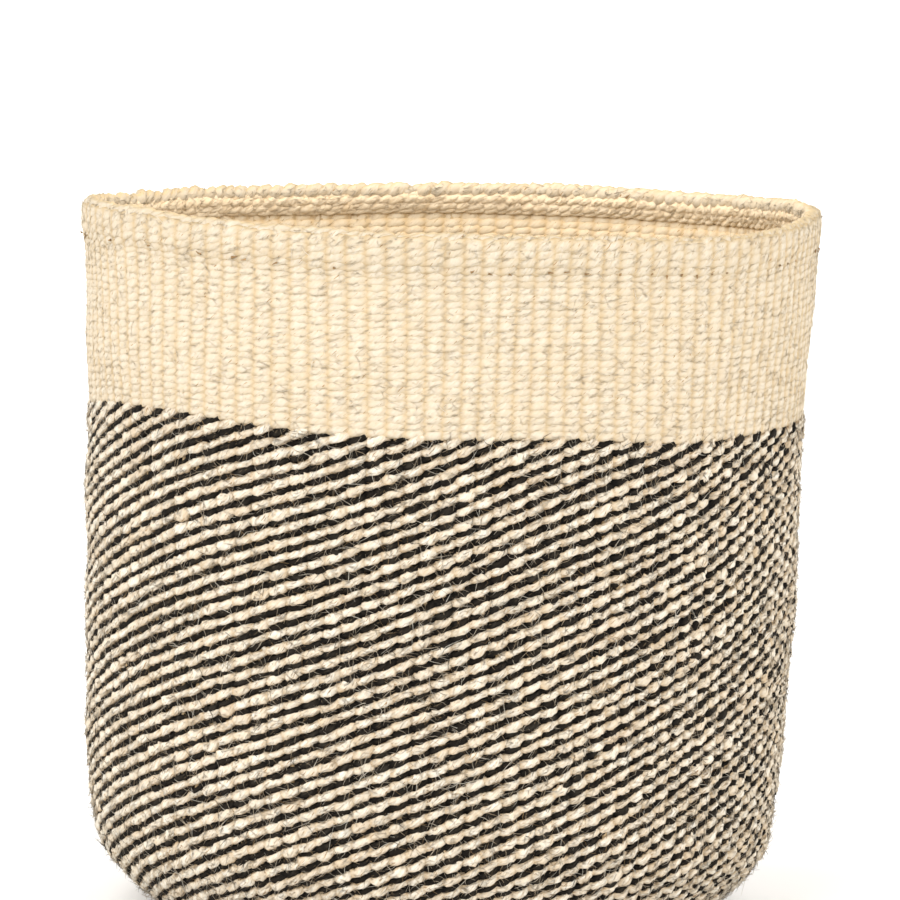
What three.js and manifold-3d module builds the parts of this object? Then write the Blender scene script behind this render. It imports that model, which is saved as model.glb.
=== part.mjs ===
// A round sisal basket with a flat base, a rounded foot, a slightly flared wall and a turned hem.
// It is twined: warp cords run out from the middle of the base and up to the rim, and the weft passes
// on both sides of each of them, so the wall is an outer skin, the warps and an inner skin.
// Millimetres, +Z up, origin at the centre of the underside.

import * as THREE from "three";
import { mergeVertices } from "three/addons/utils/BufferGeometryUtils.js";
import Module from "manifold-3d";

const wasm = await Module();
wasm.setup();

// Driving dimensions of the basket
const HEIGHT = 285.4; // underside to the top of the rim cord
const RIM_RADIUS = 148.5; // outside of the wall at the rim, without the hem's bulge
const FOOT_RADIUS = 140.8; // outside of the wall where the rounded foot begins
const FOOT_ROUNDING = 49.3; // radius of the curve from the flat base into the wall
const COLOUR_CHANGE_HEIGHT = 207.1; // two-colour weft below, natural weft above

// Strands
const WEFT_THICKNESS = 1.5; // each skin of the wall
const WARP_THICKNESS = 1.6;
const WARP_WIDTH = 1.6;
const WARP_SPACE = 0.4; // between two warps where they start side by side
const FOUNDING_WARPS = 41; // warps that cross in the middle of the base
const LEGS_OF_ADDED_WARP = 2; // an added warp is a cord folded in half, laid in beside a founding one
const FIT_GAP = 0.3; // between neighbouring pieces

// Hem and rim
const HEM_HEIGHT = 14; // rim top to the lower edge of the hem, seen from outside
const HEM_BULGE = 1.5; // how far the hem stands out of the wall
const HEM_EDGE_BULGE = 0.6; // the same at the hem's two edges
const HEM_EDGE_ROUNDING = 2; // height over which the hem's edges round over
const RIM_CORD_WIDTH = 7.2;
const RIM_CORD_HEIGHT = 5.2;
const RIM_CORD_ROUNDING = 1.4;
const HEM_ROW_DIAMETER = 3; // the rope-like rows inside the rim
const HEM_ROW_NAMES = ["hem_row_top", "hem_row_bottom"];

// Resolution of the faceted solids
const WALL_SEGMENTS = 60; // round the basket
const FOOT_STEPS = 4; // along the rounded foot
const LOW_FOOT_STEPS = 2; // of those, the ones in its lower half
const HEM_ROW_SIDES = 6;
const FOLD_STEPS = 1; // in each quarter of the fold of an added warp

// Sizes worked out from those above
const OUTER_SKIN = [0, WEFT_THICKNESS]; // depths below the outside of the wall
const WARP_LAYER = layerBelow(OUTER_SKIN, WARP_THICKNESS);
const INNER_SKIN = layerBelow(WARP_LAYER, WEFT_THICKNESS);
const WALL_THICKNESS = INNER_SKIN[1];
const BASE_RADIUS = FOOT_RADIUS - FOOT_ROUNDING;
const WARP_COUNT = FOUNDING_WARPS * (1 + LEGS_OF_ADDED_WARP);
const WARP_PITCH = WARP_WIDTH + WARP_SPACE; // of warps that start side by side
const CROSSING_RADIUS = radiusThatSeats(FOUNDING_WARPS);
const FOLD_CENTRE = radiusThatSeats(WARP_COUNT) + WARP_PITCH;
const RIM_CORD_BOTTOM = HEIGHT - RIM_CORD_HEIGHT;
const HEM_TOP = RIM_CORD_BOTTOM - FIT_GAP;
const HEM_BOTTOM = HEIGHT - HEM_HEIGHT;
const HEM_ROW_PITCH = HEM_ROW_DIAMETER + FIT_GAP;
const HEM_ROWS_BOTTOM = HEM_TOP - HEM_ROW_PITCH * HEM_ROW_NAMES.length;

// Finishes
const naturalSisal = finish("#f1dfbf", 0.9);
const hemSisal = finish("#ecd7b3", 0.9);
const twoToneSisal = finish("#988e7e", 0.9);
const warpSisal = finish("#e2cda6", 0.95);

function finish(colour, roughness) {
  return new THREE.MeshStandardMaterial({ color: colour, roughness, metalness: 0 });
}

// The depths of a layer that lies inside another one.
function layerBelow(layer, thickness) {
  return [layer[1] + FIT_GAP, layer[1] + FIT_GAP + thickness];
}

// The radius of the circle on which so many warps lie side by side.
function radiusThatSeats(count) {
  return (count * WARP_PITCH) / (2 * Math.PI);
}

// The outside of the wall above the foot.
function wallRadius(height) {
  const rise = (height - FOOT_ROUNDING) / (HEIGHT - FOOT_ROUNDING);
  return FOOT_RADIUS + (RIM_RADIUS - FOOT_RADIUS) * rise;
}

// Points of a line at a depth below the outside, from one place on the basket's section to another.
// A place is { radius } on the flat base, { step } on the rounded foot or { height } on the wall.
function sectionLine(from, to, depth) {
  const reach = FOOT_ROUNDING - depth;
  const footCorner = (step) => {
    const angle = ((Math.PI / 2) * step) / FOOT_STEPS;
    return new THREE.Vector2(
      BASE_RADIUS + reach * Math.sin(angle),
      FOOT_ROUNDING - reach * Math.cos(angle),
    );
  };
  const pointAt = (place) => {
    if ("radius" in place) return new THREE.Vector2(place.radius, depth);
    if ("height" in place) return new THREE.Vector2(wallRadius(place.height) - depth, place.height);
    return footCorner(Math.floor(place.step)).lerp(footCorner(Math.ceil(place.step)), place.step % 1);
  };
  const points = [pointAt(from)];
  for (let step = 0; step <= FOOT_STEPS; step++) {
    if (isBefore(from, step) && !isBefore(to, step) && !isAt(to, step)) points.push(footCorner(step));
  }
  points.push(pointAt(to));
  return points;
}

// Whether a place on the section lies before a corner of the foot, counted from the base.
function isBefore(place, step) {
  if ("radius" in place) return place.radius < BASE_RADIUS || step > 0;
  if ("height" in place) return false;
  return place.step < step;
}

// Whether a place on the section is a corner of the foot.
function isAt(place, step) {
  if ("radius" in place) return place.radius === BASE_RADIUS && step === 0;
  if ("height" in place) return place.height === FOOT_ROUNDING && step === FOOT_STEPS;
  return place.step === step;
}

// The closed section of a layer: out along its outer depth and back along its inner one.
function layerSection(from, to, layer) {
  return [...sectionLine(from, to, layer[0]), ...sectionLine(from, to, layer[1]).reverse()];
}

// Turns a closed section, anticlockwise as seen with the axis on the left, round the basket's axis.
function turned(section, segments = WALL_SEGMENTS) {
  const geometry = new THREE.LatheGeometry([...section, section[0]], segments);
  return geometry.rotateX(Math.PI / 2);
}

// The section of a warp from a radius on the base up to the rim. The skins round the warps are
// faceted, so a warp lies at the mean radius of their facets.
function warpSection(radius) {
  const facetMean = (1 + Math.cos(Math.PI / WALL_SEGMENTS)) / 2;
  const section = layerSection({ radius }, { height: HEM_TOP }, WARP_LAYER);
  return section.map((point) => new THREE.Vector2(point.x * facetMean, point.y));
}

// A flat-sided cord that follows a warp's section on the plane at an angle round the axis.
function warpLeg(startRadius, angle) {
  const leg = new THREE.ExtrudeGeometry(new THREE.Shape(warpSection(startRadius)), {
    depth: WARP_WIDTH,
    bevelEnabled: false,
  });
  leg.translate(0, 0, -WARP_WIDTH / 2);
  return leg.rotateX(Math.PI / 2).rotateZ(angle);
}

// Joins closed geometries into one closed geometry.
function joined(geometries) {
  let solid = null;
  for (const geometry of geometries) {
    const bare = geometry.clone();
    bare.deleteAttribute("normal");
    bare.deleteAttribute("uv");
    const merged = mergeVertices(bare, 1e-4);
    const next = new wasm.Manifold(
      new wasm.Mesh({
        numProp: 3,
        vertProperties: merged.attributes.position.array,
        triVerts: new Uint32Array(merged.index.array),
      }),
    );
    solid = solid ? solid.add(next) : next;
  }
  const mesh = solid.getMesh();
  const result = new THREE.BufferGeometry();
  result.setAttribute("position", new THREE.BufferAttribute(mesh.vertProperties, 3));
  result.setIndex(new THREE.BufferAttribute(mesh.triVerts, 1));
  return result;
}

function piece(name, geometry, material) {
  const mesh = new THREE.Mesh(geometry, material);
  mesh.name = name;
  return mesh;
}

// The weft, as an outer and an inner skin in each zone of the basket
function weftSkins() {
  const base = [{ radius: 0 }, { radius: BASE_RADIUS - FIT_GAP }];
  const footStepLength = ((FOOT_ROUNDING - WALL_THICKNESS) * Math.PI) / 2 / FOOT_STEPS;
  const footLow = [{ radius: BASE_RADIUS }, { step: LOW_FOOT_STEPS }];
  const footHigh = [{ step: LOW_FOOT_STEPS + FIT_GAP / footStepLength }, { height: FOOT_ROUNDING }];
  const lower = [{ height: FOOT_ROUNDING + FIT_GAP }, { height: COLOUR_CHANGE_HEIGHT }];
  const upperStart = { height: COLOUR_CHANGE_HEIGHT + FIT_GAP };
  const upperOutside = [upperStart, { height: HEM_BOTTOM - FIT_GAP }];
  const upperInside = [upperStart, { height: HEM_ROWS_BOTTOM }];
  const skins = [
    ["base_weft_underside", base, OUTER_SKIN, twoToneSisal],
    ["base_weft_inside", base, INNER_SKIN, twoToneSisal],
    ["foot_low_weft_outside", footLow, OUTER_SKIN, twoToneSisal],
    ["foot_low_weft_inside", footLow, INNER_SKIN, twoToneSisal],
    ["foot_high_weft_outside", footHigh, OUTER_SKIN, twoToneSisal],
    ["foot_high_weft_inside", footHigh, INNER_SKIN, twoToneSisal],
    ["lower_weft_outside", lower, OUTER_SKIN, twoToneSisal],
    ["lower_weft_inside", lower, INNER_SKIN, twoToneSisal],
    ["upper_weft_outside", upperOutside, OUTER_SKIN, naturalSisal],
    ["upper_weft_inside", upperInside, INNER_SKIN, naturalSisal],
  ];
  return skins.map(([name, [from, to], layer, material]) =>
    piece(name, turned(layerSection(from, to, layer)), material),
  );
}

// The founding warps, which cross in the middle of the base and so make one piece
function foundingWarps() {
  const crossing = new THREE.LatheGeometry(
    [
      new THREE.Vector2(0, WARP_LAYER[0]),
      new THREE.Vector2(CROSSING_RADIUS, WARP_LAYER[0]),
      new THREE.Vector2(CROSSING_RADIUS, WARP_LAYER[1]),
      new THREE.Vector2(0, WARP_LAYER[1]),
    ],
    FOUNDING_WARPS,
  ).rotateX(Math.PI / 2);
  const legs = [];
  for (let index = 0; index < FOUNDING_WARPS; index++) {
    const angle = (2 * Math.PI * index) / FOUNDING_WARPS;
    legs.push(warpLeg(CROSSING_RADIUS - WARP_WIDTH, angle));
  }
  return piece("founding_warps", joined([crossing, ...legs]), warpSisal);
}

// The added warps: a cord folded in half between each two founding warps, its fold towards the middle
function addedWarps() {
  const fold = new THREE.Shape();
  const outer = (WARP_PITCH + WARP_WIDTH) / 2;
  const inner = (WARP_PITCH - WARP_WIDTH) / 2;
  fold.absarc(0, 0, outer, Math.PI / 2, (3 * Math.PI) / 2, false);
  fold.lineTo(WARP_WIDTH / 2, -outer);
  fold.lineTo(WARP_WIDTH / 2, -inner);
  fold.absarc(0, 0, inner, (3 * Math.PI) / 2, Math.PI / 2, true);
  fold.lineTo(WARP_WIDTH / 2, inner);
  fold.lineTo(WARP_WIDTH / 2, outer);
  const bend = new THREE.ExtrudeGeometry(fold, {
    depth: WARP_THICKNESS,
    bevelEnabled: false,
    curveSegments: FOLD_STEPS,
  });
  bend.translate(FOLD_CENTRE, 0, WARP_LAYER[0]);
  const halfAngle = Math.PI / WARP_COUNT;
  const cord = joined([bend, warpLeg(FOLD_CENTRE, halfAngle), warpLeg(FOLD_CENTRE, -halfAngle)]);
  const pieces = [];
  for (let index = 0; index < FOUNDING_WARPS; index++) {
    const number = String(index + 1).padStart(2, "0");
    const added = piece(`added_warp_${number}`, cord, warpSisal);
    added.rotation.z = (2 * Math.PI * (index + 0.5)) / FOUNDING_WARPS;
    pieces.push(added);
  }
  return pieces;
}

// The hem's outer rows, a low rounded band round the outside of the rim
function hemBand() {
  const top = wallRadius(HEM_TOP);
  const bottom = wallRadius(HEM_BOTTOM);
  const section = [
    new THREE.Vector2(bottom - WEFT_THICKNESS, HEM_BOTTOM),
    new THREE.Vector2(bottom + HEM_EDGE_BULGE, HEM_BOTTOM),
    new THREE.Vector2(bottom + HEM_BULGE, HEM_BOTTOM + HEM_EDGE_ROUNDING),
    new THREE.Vector2(top + HEM_BULGE, HEM_TOP - HEM_EDGE_ROUNDING),
    new THREE.Vector2(top + HEM_EDGE_BULGE, HEM_TOP),
    new THREE.Vector2(top - WEFT_THICKNESS, HEM_TOP),
  ];
  return piece("hem_band", turned(section), hemSisal);
}

// The cord along the top edge, over the turned warp ends
function rimCord() {
  const middle = wallRadius(HEIGHT) - WALL_THICKNESS / 2;
  const half = RIM_CORD_WIDTH / 2;
  const corner = RIM_CORD_ROUNDING;
  const section = [
    new THREE.Vector2(middle - half + corner, RIM_CORD_BOTTOM),
    new THREE.Vector2(middle + half - corner, RIM_CORD_BOTTOM),
    new THREE.Vector2(middle + half, RIM_CORD_BOTTOM + corner),
    new THREE.Vector2(middle + half, HEIGHT - corner),
    new THREE.Vector2(middle + half - corner, HEIGHT),
    new THREE.Vector2(middle - half + corner, HEIGHT),
    new THREE.Vector2(middle - half, HEIGHT - corner),
    new THREE.Vector2(middle - half, RIM_CORD_BOTTOM + corner),
  ];
  return piece("rim_cord", turned(section), hemSisal);
}

// The rope-like rows inside the rim that lock the turned warp ends
function hemRows() {
  const radius = HEM_ROW_DIAMETER / 2;
  const depth = WARP_LAYER[1] + FIT_GAP + radius;
  return HEM_ROW_NAMES.map((name, row) => {
    const height = HEM_TOP - radius - HEM_ROW_PITCH * row;
    const section = [];
    for (let side = 0; side < HEM_ROW_SIDES; side++) {
      const angle = (2 * Math.PI * side) / HEM_ROW_SIDES;
      section.push(
        new THREE.Vector2(
          wallRadius(height) - depth + radius * Math.cos(angle),
          height + radius * Math.sin(angle),
        ),
      );
    }
    return piece(name, turned(section), hemSisal);
  });
}

const basket = new THREE.Group();
basket.add(...weftSkins(), foundingWarps(), ...addedWarps());
basket.add(hemBand(), rimCord(), ...hemRows());

export default basket;
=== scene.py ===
import math

import bpy
import numpy as np
from mathutils import Matrix, Vector


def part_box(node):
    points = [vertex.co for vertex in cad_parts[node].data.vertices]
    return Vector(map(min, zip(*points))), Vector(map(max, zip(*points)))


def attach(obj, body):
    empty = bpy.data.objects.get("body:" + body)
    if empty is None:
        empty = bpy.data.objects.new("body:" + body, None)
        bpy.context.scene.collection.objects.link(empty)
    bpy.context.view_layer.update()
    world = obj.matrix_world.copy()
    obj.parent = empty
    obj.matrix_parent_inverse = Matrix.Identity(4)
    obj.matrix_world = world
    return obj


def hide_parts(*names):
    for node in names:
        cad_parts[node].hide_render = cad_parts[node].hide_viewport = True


# The looks of a twined sisal basket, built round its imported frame.
# Two strands of weft run in one spiral from the middle of the base up to the rim and change sides
# between every two warps. The number of warps is odd in every row, so that the strand that passes
# outside a warp in one row passes inside it in the next: the two colours join into slanting stripes.

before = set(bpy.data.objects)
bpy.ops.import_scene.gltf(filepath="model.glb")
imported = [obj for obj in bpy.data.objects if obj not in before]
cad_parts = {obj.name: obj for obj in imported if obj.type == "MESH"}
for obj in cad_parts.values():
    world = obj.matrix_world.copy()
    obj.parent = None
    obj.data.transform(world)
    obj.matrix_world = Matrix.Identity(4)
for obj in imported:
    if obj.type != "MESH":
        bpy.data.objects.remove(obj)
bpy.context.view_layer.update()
rng = np.random.default_rng(41)

MM = 0.001
TAU = 2 * math.pi

# Sizes read from the frame, in metres
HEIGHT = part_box("rim_cord")[1].z
FOOT_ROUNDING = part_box("foot_high_weft_outside")[1].z
FOOT_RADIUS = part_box("foot_high_weft_outside")[1].x
BASE_RADIUS = FOOT_RADIUS - FOOT_ROUNDING
WALL_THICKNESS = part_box("base_weft_inside")[1].z
FOOT_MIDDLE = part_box("foot_low_weft_outside")[1].z
COLOUR_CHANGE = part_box("lower_weft_outside")[1].z
HEM_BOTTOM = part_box("upper_weft_outside")[1].z
HEM_BOTTOM_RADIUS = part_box("upper_weft_outside")[1].x
RIM_CORD_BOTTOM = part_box("rim_cord")[0].z
HEM_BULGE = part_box("hem_band")[1].x - HEM_BOTTOM_RADIUS
WALL_TAPER = (HEM_BOTTOM_RADIUS - FOOT_RADIUS) / (HEM_BOTTOM - FOOT_ROUNDING)
MIDDLE_DEPTH = WALL_THICKNESS / 2
FOOT_ARC = (FOOT_ROUNDING - MIDDLE_DEPTH) * math.pi / 2  # along the middle of the wall

# The weave
WARPS = 123
LOWER_ROW = 2.92 * MM  # height of a row of two-colour twining
UPPER_ROW = 2.80 * MM
HEM_ROWS = 4
LAST_ROW_DEPTH = 2.6 * MM  # of the last row's upper edge below the top of the rim
START_RADIUS = 5 * MM  # of the first row round the middle of the base
BASE_TIERS = ((88, 83), (52, 41), (26, 21), (14, 11))  # inside this radius in mm, so many warps
SAMPLES = 6  # of a strand from one warp to the next
SIDES = 8  # of a strand's section
STRAND_REACH = 1.5 * MM  # how far a strand's middle swings to each side of the warps
BLACK_REACH = 1.1 * MM
PLAIN_REACH = 0.48 * MM
INSIDE_REACH = 0.9  # of the plain zone's strands on the inside, as a share of that on the outside
STRAND_HALF_DEPTH = 1.25 * MM
PLAIN_HALF_DEPTH = 1.45 * MM
PLAIN_OUTWARD = 0.3 * MM  # of the plain zone's middle, so that the outside is level with the band
NATURAL_OUTWARD = 0.15 * MM  # the natural strand lies a little further out than the black one
NATURAL_HALF_WIDTH = 1.80 * MM
BLACK_HALF_WIDTH = 1.47 * MM
NATURAL_ON_LEFT = 0.07  # how much thicker the natural strand is on the left, as a share
BLACK_ON_LEFT = -0.17  # the same for the black strand, which is thinner there
BLACK_ON_RIGHT = 0.15  # and thicker on the right
PLAIN_HALF_WIDTH = 2.45 * MM
TWO_COLOUR_RISE = 1.45 * MM  # how far a strand climbs and falls in its row
PLAIN_RISE = 0.62 * MM
HEM_RISE = 1.05 * MM  # the hem's stitches slant more than the plain zone's
CALM = 0.45  # how uneven the plain zone is, as a share of the two-colour one
EARLY_CREST = 0.55  # a stitch comes out steeply and dives gently
LATE_CLIMB = 0.35  # and climbs to the next row mostly while it dives
SQUEEZE = 0.04  # a strand is this much thinner between two warps
PLAIN_SQUEEZE = 0.15
RAGGED = 0.24  # how far the outline of a strand's section strays, as a share
FLAT_EDGE = 10 * MM  # over this length the weave goes from the flat base to its full depth
HEM_BULGE_START = 4 * MM  # below the hem's lower edge
HEM_BULGE_LENGTH = 10 * MM  # over which the hem comes out of the wall
WARP_SPACING_DRIFT = 0.12  # the hand spaced the warps wider on the left and closer on the right
WAIST_SWELL = 0.45 * MM  # how far the wall swells halfway up
HAND_LEAN = 0.012  # the basket leans a little to the right, by this share of the height
FLOOR_CLEARANCE = 0.05 * MM  # of the lowest strands

# The photographed view
CAMERA_DISTANCE = 3.2
CAMERA_ELEVATION = math.radians(4.21)  # above the middle of the rim
PIXEL = 0.407 * MM  # seen at the middle of the rim
IMAGE_SIZE = 900
RIM_CENTRE_IN_IMAGE = (451, 213.6)
CAMERA_ROLL = math.radians(1.1)


def unit(vectors):
    return vectors / np.linalg.norm(vectors, axis=-1, keepdims=True)


def wall_radius(z):
    """Radius of the outside of the wall at a height above the foot."""
    share = np.clip((z - FOOT_ROUNDING) / (HEIGHT - FOOT_ROUNDING), 0, 1)
    return FOOT_RADIUS + (z - FOOT_ROUNDING) * WALL_TAPER + 4 * WAIST_SWELL * share * (1 - share)


def way_at_height(z):
    """Distance from the middle of the base, along the middle of the wall's section."""
    return BASE_RADIUS + FOOT_ARC + (z - FOOT_ROUNDING)


def way_round_foot(z):
    """The same for a height of the outside of the rounded foot."""
    return BASE_RADIUS + (FOOT_ROUNDING - MIDDLE_DEPTH) * math.acos(1 - z / FOOT_ROUNDING)


def section_point(way):
    """Radius and height of the wall's middle, and its outward normal, that far along the section."""
    turn = np.clip((way - BASE_RADIUS) / (FOOT_ROUNDING - MIDDLE_DEPTH), 0, math.pi / 2)
    reach = FOOT_ROUNDING - MIDDLE_DEPTH
    z = FOOT_ROUNDING - reach * np.cos(turn)
    radius = np.minimum(way, BASE_RADIUS) + reach * np.sin(turn)
    above = np.maximum(way - BASE_RADIUS - FOOT_ARC, 0)
    on_wall = above > 0
    z = np.where(on_wall, FOOT_ROUNDING + above, z)
    radius = np.where(on_wall, wall_radius(z) - MIDDLE_DEPTH, radius)
    return radius, z, np.sin(turn), -np.cos(turn)


# How the hand-worked basket departs from a true round, in mm. The heights are those of the round one.
LEFT_SIDE = (  # height, how far out the wall lies
    (8, 0), (14, -1.6), (22, 0.8), (30, 0), (42, -0.8), (54, 0.4), (62, 0.8), (75, 1.6), (87, 0.6),
    (107, 0.8), (128, 1.0), (148, -0.4), (168, 0.4), (189, -0.8), (209, -0.8), (230, 0.8), (250, 0.9),
    (266, 1.8), (275, 2.2), (285, 2.2),
)
RIGHT_SIDE = (
    (8, 0), (30, 0.8), (38, -0.4), (46, -1.0), (54, 0), (62, 0.8), (75, 1.6), (87, 1.6), (107, 2.4),
    (128, 3.4), (148, 2.4), (168, 1.6), (189, 1.2), (209, 1.6), (230, 1.8), (250, 2.8), (266, 2.6),
    (275, 1.8), (285, 1.2),
)
CHANGE_RISE = (  # angle in degrees from the front to the right, how much higher the colour change lies
    (-90, 0.2), (-80, 2.0), (-74, 4.2), (-65, 5.6), (-50, 6.7), (-40, 5.5), (-30, 3.8), (-18, 2.0),
    (0, 1.2), (15, 1.6), (25, 0.8), (33, -1.0), (43, -2.6), (52, -1.6), (65, -1.0), (90, 0), (140, 1.5),
    (180, 0), (220, -1.5), (250, -0.8),
)
RIM_RISE = (  # the same for the rim
    (-90, 4.4), (-75, 6.0), (-55, 6.0), (-43, 4.8), (-25, 3.6), (-10, 2.8), (0, 2.8), (15, 2.4), (27, 2.2),
    (35, 1.4), (43, 0.8), (55, 0.8), (75, 3.6), (90, 6.0), (105, 5.6), (120, 4.2), (140, 3.4), (160, 3.4),
    (180, 2.8), (200, 1.8), (225, 2.4), (245, 2.2), (258, 3.2),
)
WOBBLES = (  # waves round the basket, size in mm, phase, how far the phase turns from foot to rim
    (2, 0.7, 0.6, 1.5), (3, 0.5, 2.1, -4), (5, 0.35, 0, 6), (9, 0.25, 1.0, 11),
)
FINE = 720  # steps of a turn in the smoothed tables


def round_table(pairs, window):
    """A smooth function round the turn, in metres, through pairs of degrees and mm."""
    degrees, values = zip(*pairs)
    fine = np.interp(np.arange(FINE) * 360 / FINE, degrees, values, period=360) * MM
    weights = np.hanning(window + 2)[1:-1]
    padded = np.concatenate([fine[-window:], fine, fine[:window]])
    smooth = np.convolve(padded, weights / weights.sum(), "same")[window:-window]
    return lambda angle: np.interp(np.degrees(angle), np.arange(FINE) * 360 / FINE, smooth, period=360)


def side_table(pairs):
    """A smooth function of height, in metres, through pairs of mm."""
    heights, values = zip(*pairs)
    fine = np.interp(np.arange(-20, 310), heights, values) * MM
    weights = np.hanning(17)
    smooth = np.convolve(fine, weights / weights.sum(), "same")
    return lambda z: np.interp(z / MM, np.arange(-20, 310), smooth)


left_side, right_side = side_table(LEFT_SIDE), side_table(RIGHT_SIDE)
change_rise, rim_rise = round_table(CHANGE_RISE, 31), round_table(RIM_RISE, 31)


def handmade(points):
    """Moves points as the hand-worked basket departs from a true round."""
    x, y, z = points[..., 0], points[..., 1], points[..., 2]
    share = z / HEIGHT
    angle = np.arctan2(x, -y)
    bump = sum(
        size * np.sin(waves * angle + phase + twist * share) for waves, size, phase, twist in WOBBLES
    )
    bump = bump * MM * np.clip(share * 3, 0, 1)
    radius = np.hypot(x, y) + 1e-9  # never nought
    bump += np.clip(np.sin(angle), 0, 1) ** 2 * right_side(z) * np.clip(radius / FOOT_RADIUS, 0, 1)
    bump += np.clip(-np.sin(angle), 0, 1) ** 2 * left_side(z) * np.clip(radius / FOOT_RADIUS, 0, 1)
    up = np.clip(z / COLOUR_CHANGE, 0, 1)
    top = np.clip((z - COLOUR_CHANGE) / (HEIGHT - COLOUR_CHANGE), 0, 1)
    rise = up**1.3 * ((1 - top) * change_rise(angle) + top * rim_rise(angle))
    moved = np.empty_like(points)
    moved[..., 0] = x * (1 + bump / radius) + HAND_LEAN * z
    moved[..., 1] = y * (1 + bump / radius)
    moved[..., 2] = z + rise
    return moved


def place(way, angle, out):
    """Points at a way along the section, an angle round the axis from the front to the right, and
    a distance out of the wall's middle; also their outward normals."""
    radius, z, normal_r, normal_z = section_point(way)
    radius = radius + out * normal_r
    z = z + out * normal_z
    points = np.stack([radius * np.sin(angle), -radius * np.cos(angle), z], -1)
    normals = np.stack([normal_r * np.sin(angle), -normal_r * np.cos(angle), normal_z], -1)
    return handmade(points), normals


# Angles of the warps, spaced by the drifting hand: equal steps in share give the drifting angles
_angles = np.linspace(-math.pi, math.pi, 2881)
_density = 1 / (1 - WARP_SPACING_DRIFT * np.sin(_angles))
_shares = np.concatenate([[0], np.cumsum((_density[1:] + _density[:-1]) / 2)])
_shares /= _shares[-1]


def warp_angle(share, way):
    """The angle of a share of a turn, starting at the back, with the slow sway of the warps."""
    angle = np.interp(share, _shares, _angles)
    height = np.clip((way - BASE_RADIUS) / (HEIGHT * 1.2), 0, 1)
    sway = 0.016 * np.sin(3 * angle + 4 * height) + 0.010 * np.sin(7 * angle - 7 * height + 1)
    return angle + sway * height


def rows():
    """The rows of the spiral from the base up: where each starts and ends, its warps and its zone."""
    change = way_at_height(COLOUR_CHANGE)
    below = int((change - START_RADIUS) / LOWER_ROW)
    edges = [change - LOWER_ROW * n for n in range(below, -1, -1)]
    hem = way_at_height(HEM_BOTTOM)
    upper = round((hem - change) / UPPER_ROW)
    edges += [change + (hem - change) * (n + 1) / upper for n in range(upper)]
    top = way_at_height(HEIGHT - LAST_ROW_DEPTH)
    edges += [hem + (top - hem) * (n + 1) / HEM_ROWS for n in range(HEM_ROWS)]
    zones = (
        (BASE_RADIUS, "base"),
        (way_round_foot(FOOT_MIDDLE), "foot_low"),
        (BASE_RADIUS + FOOT_ARC, "foot_high"),
        (change, "lower"),
        (hem, "upper"),
        (top, "hem"),
    )
    made = []
    for start, end in zip(edges, edges[1:]):
        middle = (start + end) / 2
        warps = WARPS
        for radius, count in BASE_TIERS:
            if middle < radius * MM:
                warps = count
        zone = next(name for limit, name in zones if middle < limit)
        made.append((start, end, warps, zone))
    return made


ROWS = rows()


def smooth_noise(count, step, amount):
    """Random values that change smoothly, with a new one every so many samples."""
    knots = rng.normal(0, amount, count // step + 3)
    return np.interp(np.arange(count) / step, np.arange(len(knots)), knots)


def weft_path():
    """The samples of the spiral: way, angle, phase of the twist, and the number of the row."""
    way, angle, phase, row_of = [], [], [], []
    turns = 0
    highest = (ROWS[-1][0] + ROWS[-1][1]) / 2  # the last row runs out level with the one before
    for number, (start, end, warps, _zone) in enumerate(ROWS):
        count = warps * SAMPLES
        share = np.arange(count) / count
        here = np.minimum(start + (end - start) * share, highest)
        way.append(here)
        angle.append(warp_angle(share, here))
        phase.append(math.pi * (turns + np.arange(count) / SAMPLES))
        row_of.append(np.full(count, number))
        turns += warps
    return (np.concatenate(a) for a in (way, angle, phase, row_of))


WAY, ANGLE, PHASE, ROW_OF = weft_path()
ROW_HEIGHT = np.array([end - start for start, end, _w, _z in ROWS])[ROW_OF]
ZONE_OF = np.array([zone for _s, _e, _w, zone in ROWS])[ROW_OF]
PLAIN = np.isin(ZONE_OF, ("upper", "hem"))
LEFT = np.clip(-np.sin(ANGLE) - 0.3, 0, 1) / 0.7  # from nought to one at the basket's left side
RIGHT = np.clip(np.sin(ANGLE) - 0.3, 0, 1) / 0.7
# How early or late a stitch crosses the other strand
CROSSING_DRIFT = np.where(PLAIN, 0.9, 1.0) * smooth_noise(len(WAY), SAMPLES, 0.24)


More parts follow.
